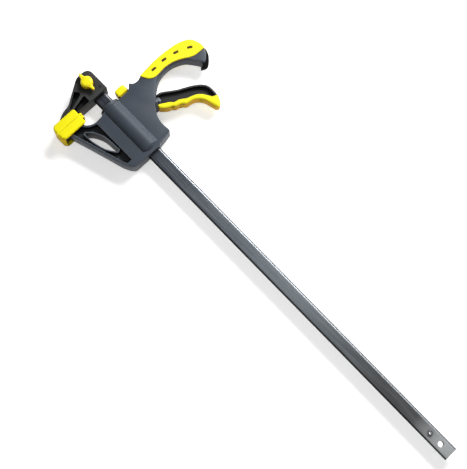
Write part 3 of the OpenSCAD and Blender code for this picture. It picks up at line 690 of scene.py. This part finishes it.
def soft(name, node, body, voxel, passes, hold):
    """A soft piece from its CAD solid: remeshed finely, then eased round its edges.

    It is eased in passes, and less where hold(p) is below 1, as it is along seams.
    """
    o = copied(name, node)
    change = o.modifiers.new("fine", "REMESH")
    change.mode, change.voxel_size, change.adaptivity = "VOXEL", voxel * MM, 0
    baked(o)
    ease = o.vertex_groups.new(name="ease")
    for v in o.data.vertices:
        ease.add([v.index], hold(v.co / MM), "REPLACE")
    change = o.modifiers.new("ease", "SMOOTH")
    change.factor, change.iterations, change.vertex_group = 0.5, passes, "ease"
    baked(o)
    finished(o, body, GRIP_RUBBER, node, crease=None)


def between(v, low, high):
    """0 up to low, 1 from high on, and straight between them."""
    return min(1.0, max(0.0, (v - low) / (high - low)))


def grip_hold(p):
    """How far the inlay's edges are eased: not along the seam, and little round the slots."""
    from_seam = between(abs(p.z), *SEAM_BAND)
    from_slots = between(min(math.dist(p[:2], q) for q in SLOTS), *SLOT_BAND)
    return from_seam * (SLOT_EASE + (1 - SLOT_EASE) * from_slots)


# ---- Springs ----

WIRE_SIDES, TURN_STEPS = 12, 36
CLOSED = 2.1                                    # pitch of the closed end turns, in wire radii


def spring(name, node, wire, live):
    """A coil along X in the box of its CAD solid.

    wire is the wire's radius, and live the number of open turns between the closed end ones.
    """
    (x0, y0, z0), (x1, y1, z1) = [[v / MM for v in c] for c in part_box(node)]
    middle, radius = (y0 + y1) / 2, (z1 - z0) / 2 - wire
    closed = CLOSED * wire
    pitch = (x1 - x0 - 2 * wire - 2 * closed) / live
    turns = live + 2
    n = round(turns * TURN_STEPS)
    points = []
    for i in range(n + 1):
        t = turns * i / n
        ends = min(t, 1) + max(t - 1 - live, 0)
        x = x0 + wire + ends * closed + min(max(t - 1, 0), live) * pitch
        b = math.tau * t
        for k in range(WIRE_SIDES):
            a = math.tau * k / WIRE_SIDES
            r = radius + wire * math.cos(a)
            points.append((x + wire * math.sin(a), middle + r * math.cos(b), r * math.sin(b)))
    rings = [[i * WIRE_SIDES + k for k in range(WIRE_SIDES)] for i in range(n + 1)]
    faces = [tuple(rings[0]), tuple(reversed(rings[-1]))]
    for ring, after in zip(rings, rings[1:]):
        for k in range(WIRE_SIDES):
            j = (k + 1) % WIRE_SIDES
            faces.append((ring[k], after[k], after[j], ring[j]))
    o = piece(name, points, faces)
    finished(o, "sliding_jaw", SPRING, node)
    baked(o)
    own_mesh(o)


# ---- Floor, light and camera ----

FLOOR_DROP, FLOOR_HALF = 0.2 * MM, 6.0          # under the object, and half of its side
FLOOR_GLOW = 0.5                                # on top of its lit colour, where a camera sees it
WORLD_LIGHT = 0.13


def floor():
    """Pale paper, brighter to the camera and in reflections, which keeps the object's shadow."""
    z, r = CAD_BOX[0][2] - FLOOR_DROP, FLOOR_HALF
    mesh = bpy.data.meshes.new("floor")
    mesh.from_pydata([(-r, -r, z), (r, -r, z), (r, r, z), (-r, r, z)], [], [(0, 1, 2, 3)])
    o = placed("floor", mesh)
    s = Shader("floor_paper")
    rays = s.node("ShaderNodeLightPath").outputs
    seen = s.calc("MAXIMUM", rays["Is Camera Ray"], rays["Is Glossy Ray"])
    s.set(Base_Color=s.mix(s.noise(3), (0.93, 0.93, 0.93), (0.95, 0.95, 0.95)), Roughness=0.9,
          Emission_Color=WHITE, Emission_Strength=s.calc("MULTIPLY", seen, FLOOR_GLOW))
    mesh.materials.append(s.material)


def world():
    studio = bpy.data.worlds.new("studio")
    studio.use_nodes = True
    scene.world = studio
    tree = studio.node_tree
    tree.nodes.clear()
    out = tree.nodes.new("ShaderNodeOutputWorld")
    light = tree.nodes.new("ShaderNodeBackground")
    light.inputs["Color"].default_value = (*WHITE, 1)
    light.inputs["Strength"].default_value = WORLD_LIGHT
    tree.links.new(light.outputs[0], out.inputs[0])


def area(name, place, target, size, watts):
    """A soft lamp at a place, turned to its target."""
    lamp = bpy.data.lights.new(name, "AREA")
    lamp.shape = "RECTANGLE"
    lamp.size, lamp.size_y = size
    lamp.energy = watts
    o = placed(name, lamp)
    o.location = place
    o.rotation_mode = "QUATERNION"
    o.rotation_quaternion = (Vector(target) - Vector(place)).to_track_quat("-Z", "Y")


AIM = Vector((226.68, -0.945, 0)) * MM          # where the middle of the picture looks
AWAY = 1311.5 * MM
LEAN_X, LEAN_Y = math.radians(8.8), math.radians(-10)     # off straight down
ROLL = math.radians(45.54)
FOCAL, LONG_SIDE = 1127, 469                    # pixels
SENSOR = 36


def camera():
    """The camera at the photograph's place, which looks down on the clamp."""
    back = Vector((math.tan(LEAN_X), math.tan(LEAN_Y), 1)).normalized()
    along = (Vector((1, 0, 0)) - back * back.x).normalized()
    up = back.cross(along)
    right = along * math.cos(ROLL) + up * math.sin(ROLL)
    top = up * math.cos(ROLL) - along * math.sin(ROLL)
    lens = bpy.data.cameras.new("camera")
    lens.sensor_width = SENSOR
    lens.lens = SENSOR * FOCAL / LONG_SIDE
    lens.clip_start, lens.clip_end = 0.01, 20
    o = placed("camera", lens)
    columns = [right, top, back, AIM + back * AWAY]
    o.matrix_world = Matrix([[c[i] for c in columns] for i in range(3)] + [[0, 0, 0, 1]])
    scene.camera = o


# ---- The scene ----

spring("drive_spring_coil", "drive_spring", wire=0.8, live=4.5)
spring("brake_spring_coil", "brake_spring", wire=0.4, live=5)
fixed_jaw()
shell("front_shell_slim", "front_shell")
shell("rear_shell_slim", "rear_shell")
pad("fixed_pad_soft", -1, "rail", "fixed_pad")
pad("slide_pad_soft", 1, "sliding_jaw", "slide_pad")
soft("grip_front_soft", "grip_front", "sliding_jaw", voxel=0.5, passes=6, hold=grip_hold)
soft("grip_rear_soft", "grip_rear", "sliding_jaw", voxel=0.5, passes=6, hold=grip_hold)
soft("trigger_pad_soft", "trigger_pad", "trigger", voxel=0.45, passes=5, hold=lambda p: 1.0)
floor()
world()
area("key", (-0.05, 0.95, 1.0), (0.2, 0, 0), size=(0.7, 0.4), watts=20)
area("strip", (0.2, 1.3, 0.2), (0.2, 0, 0), size=(1.4, 0.15), watts=10)
area("fill", (0.3, -0.4, 1.6), (0.25, 0, 0), size=(1.4, 1.0), watts=4.5)
camera()
scene.view_settings.view_transform = "Standard"
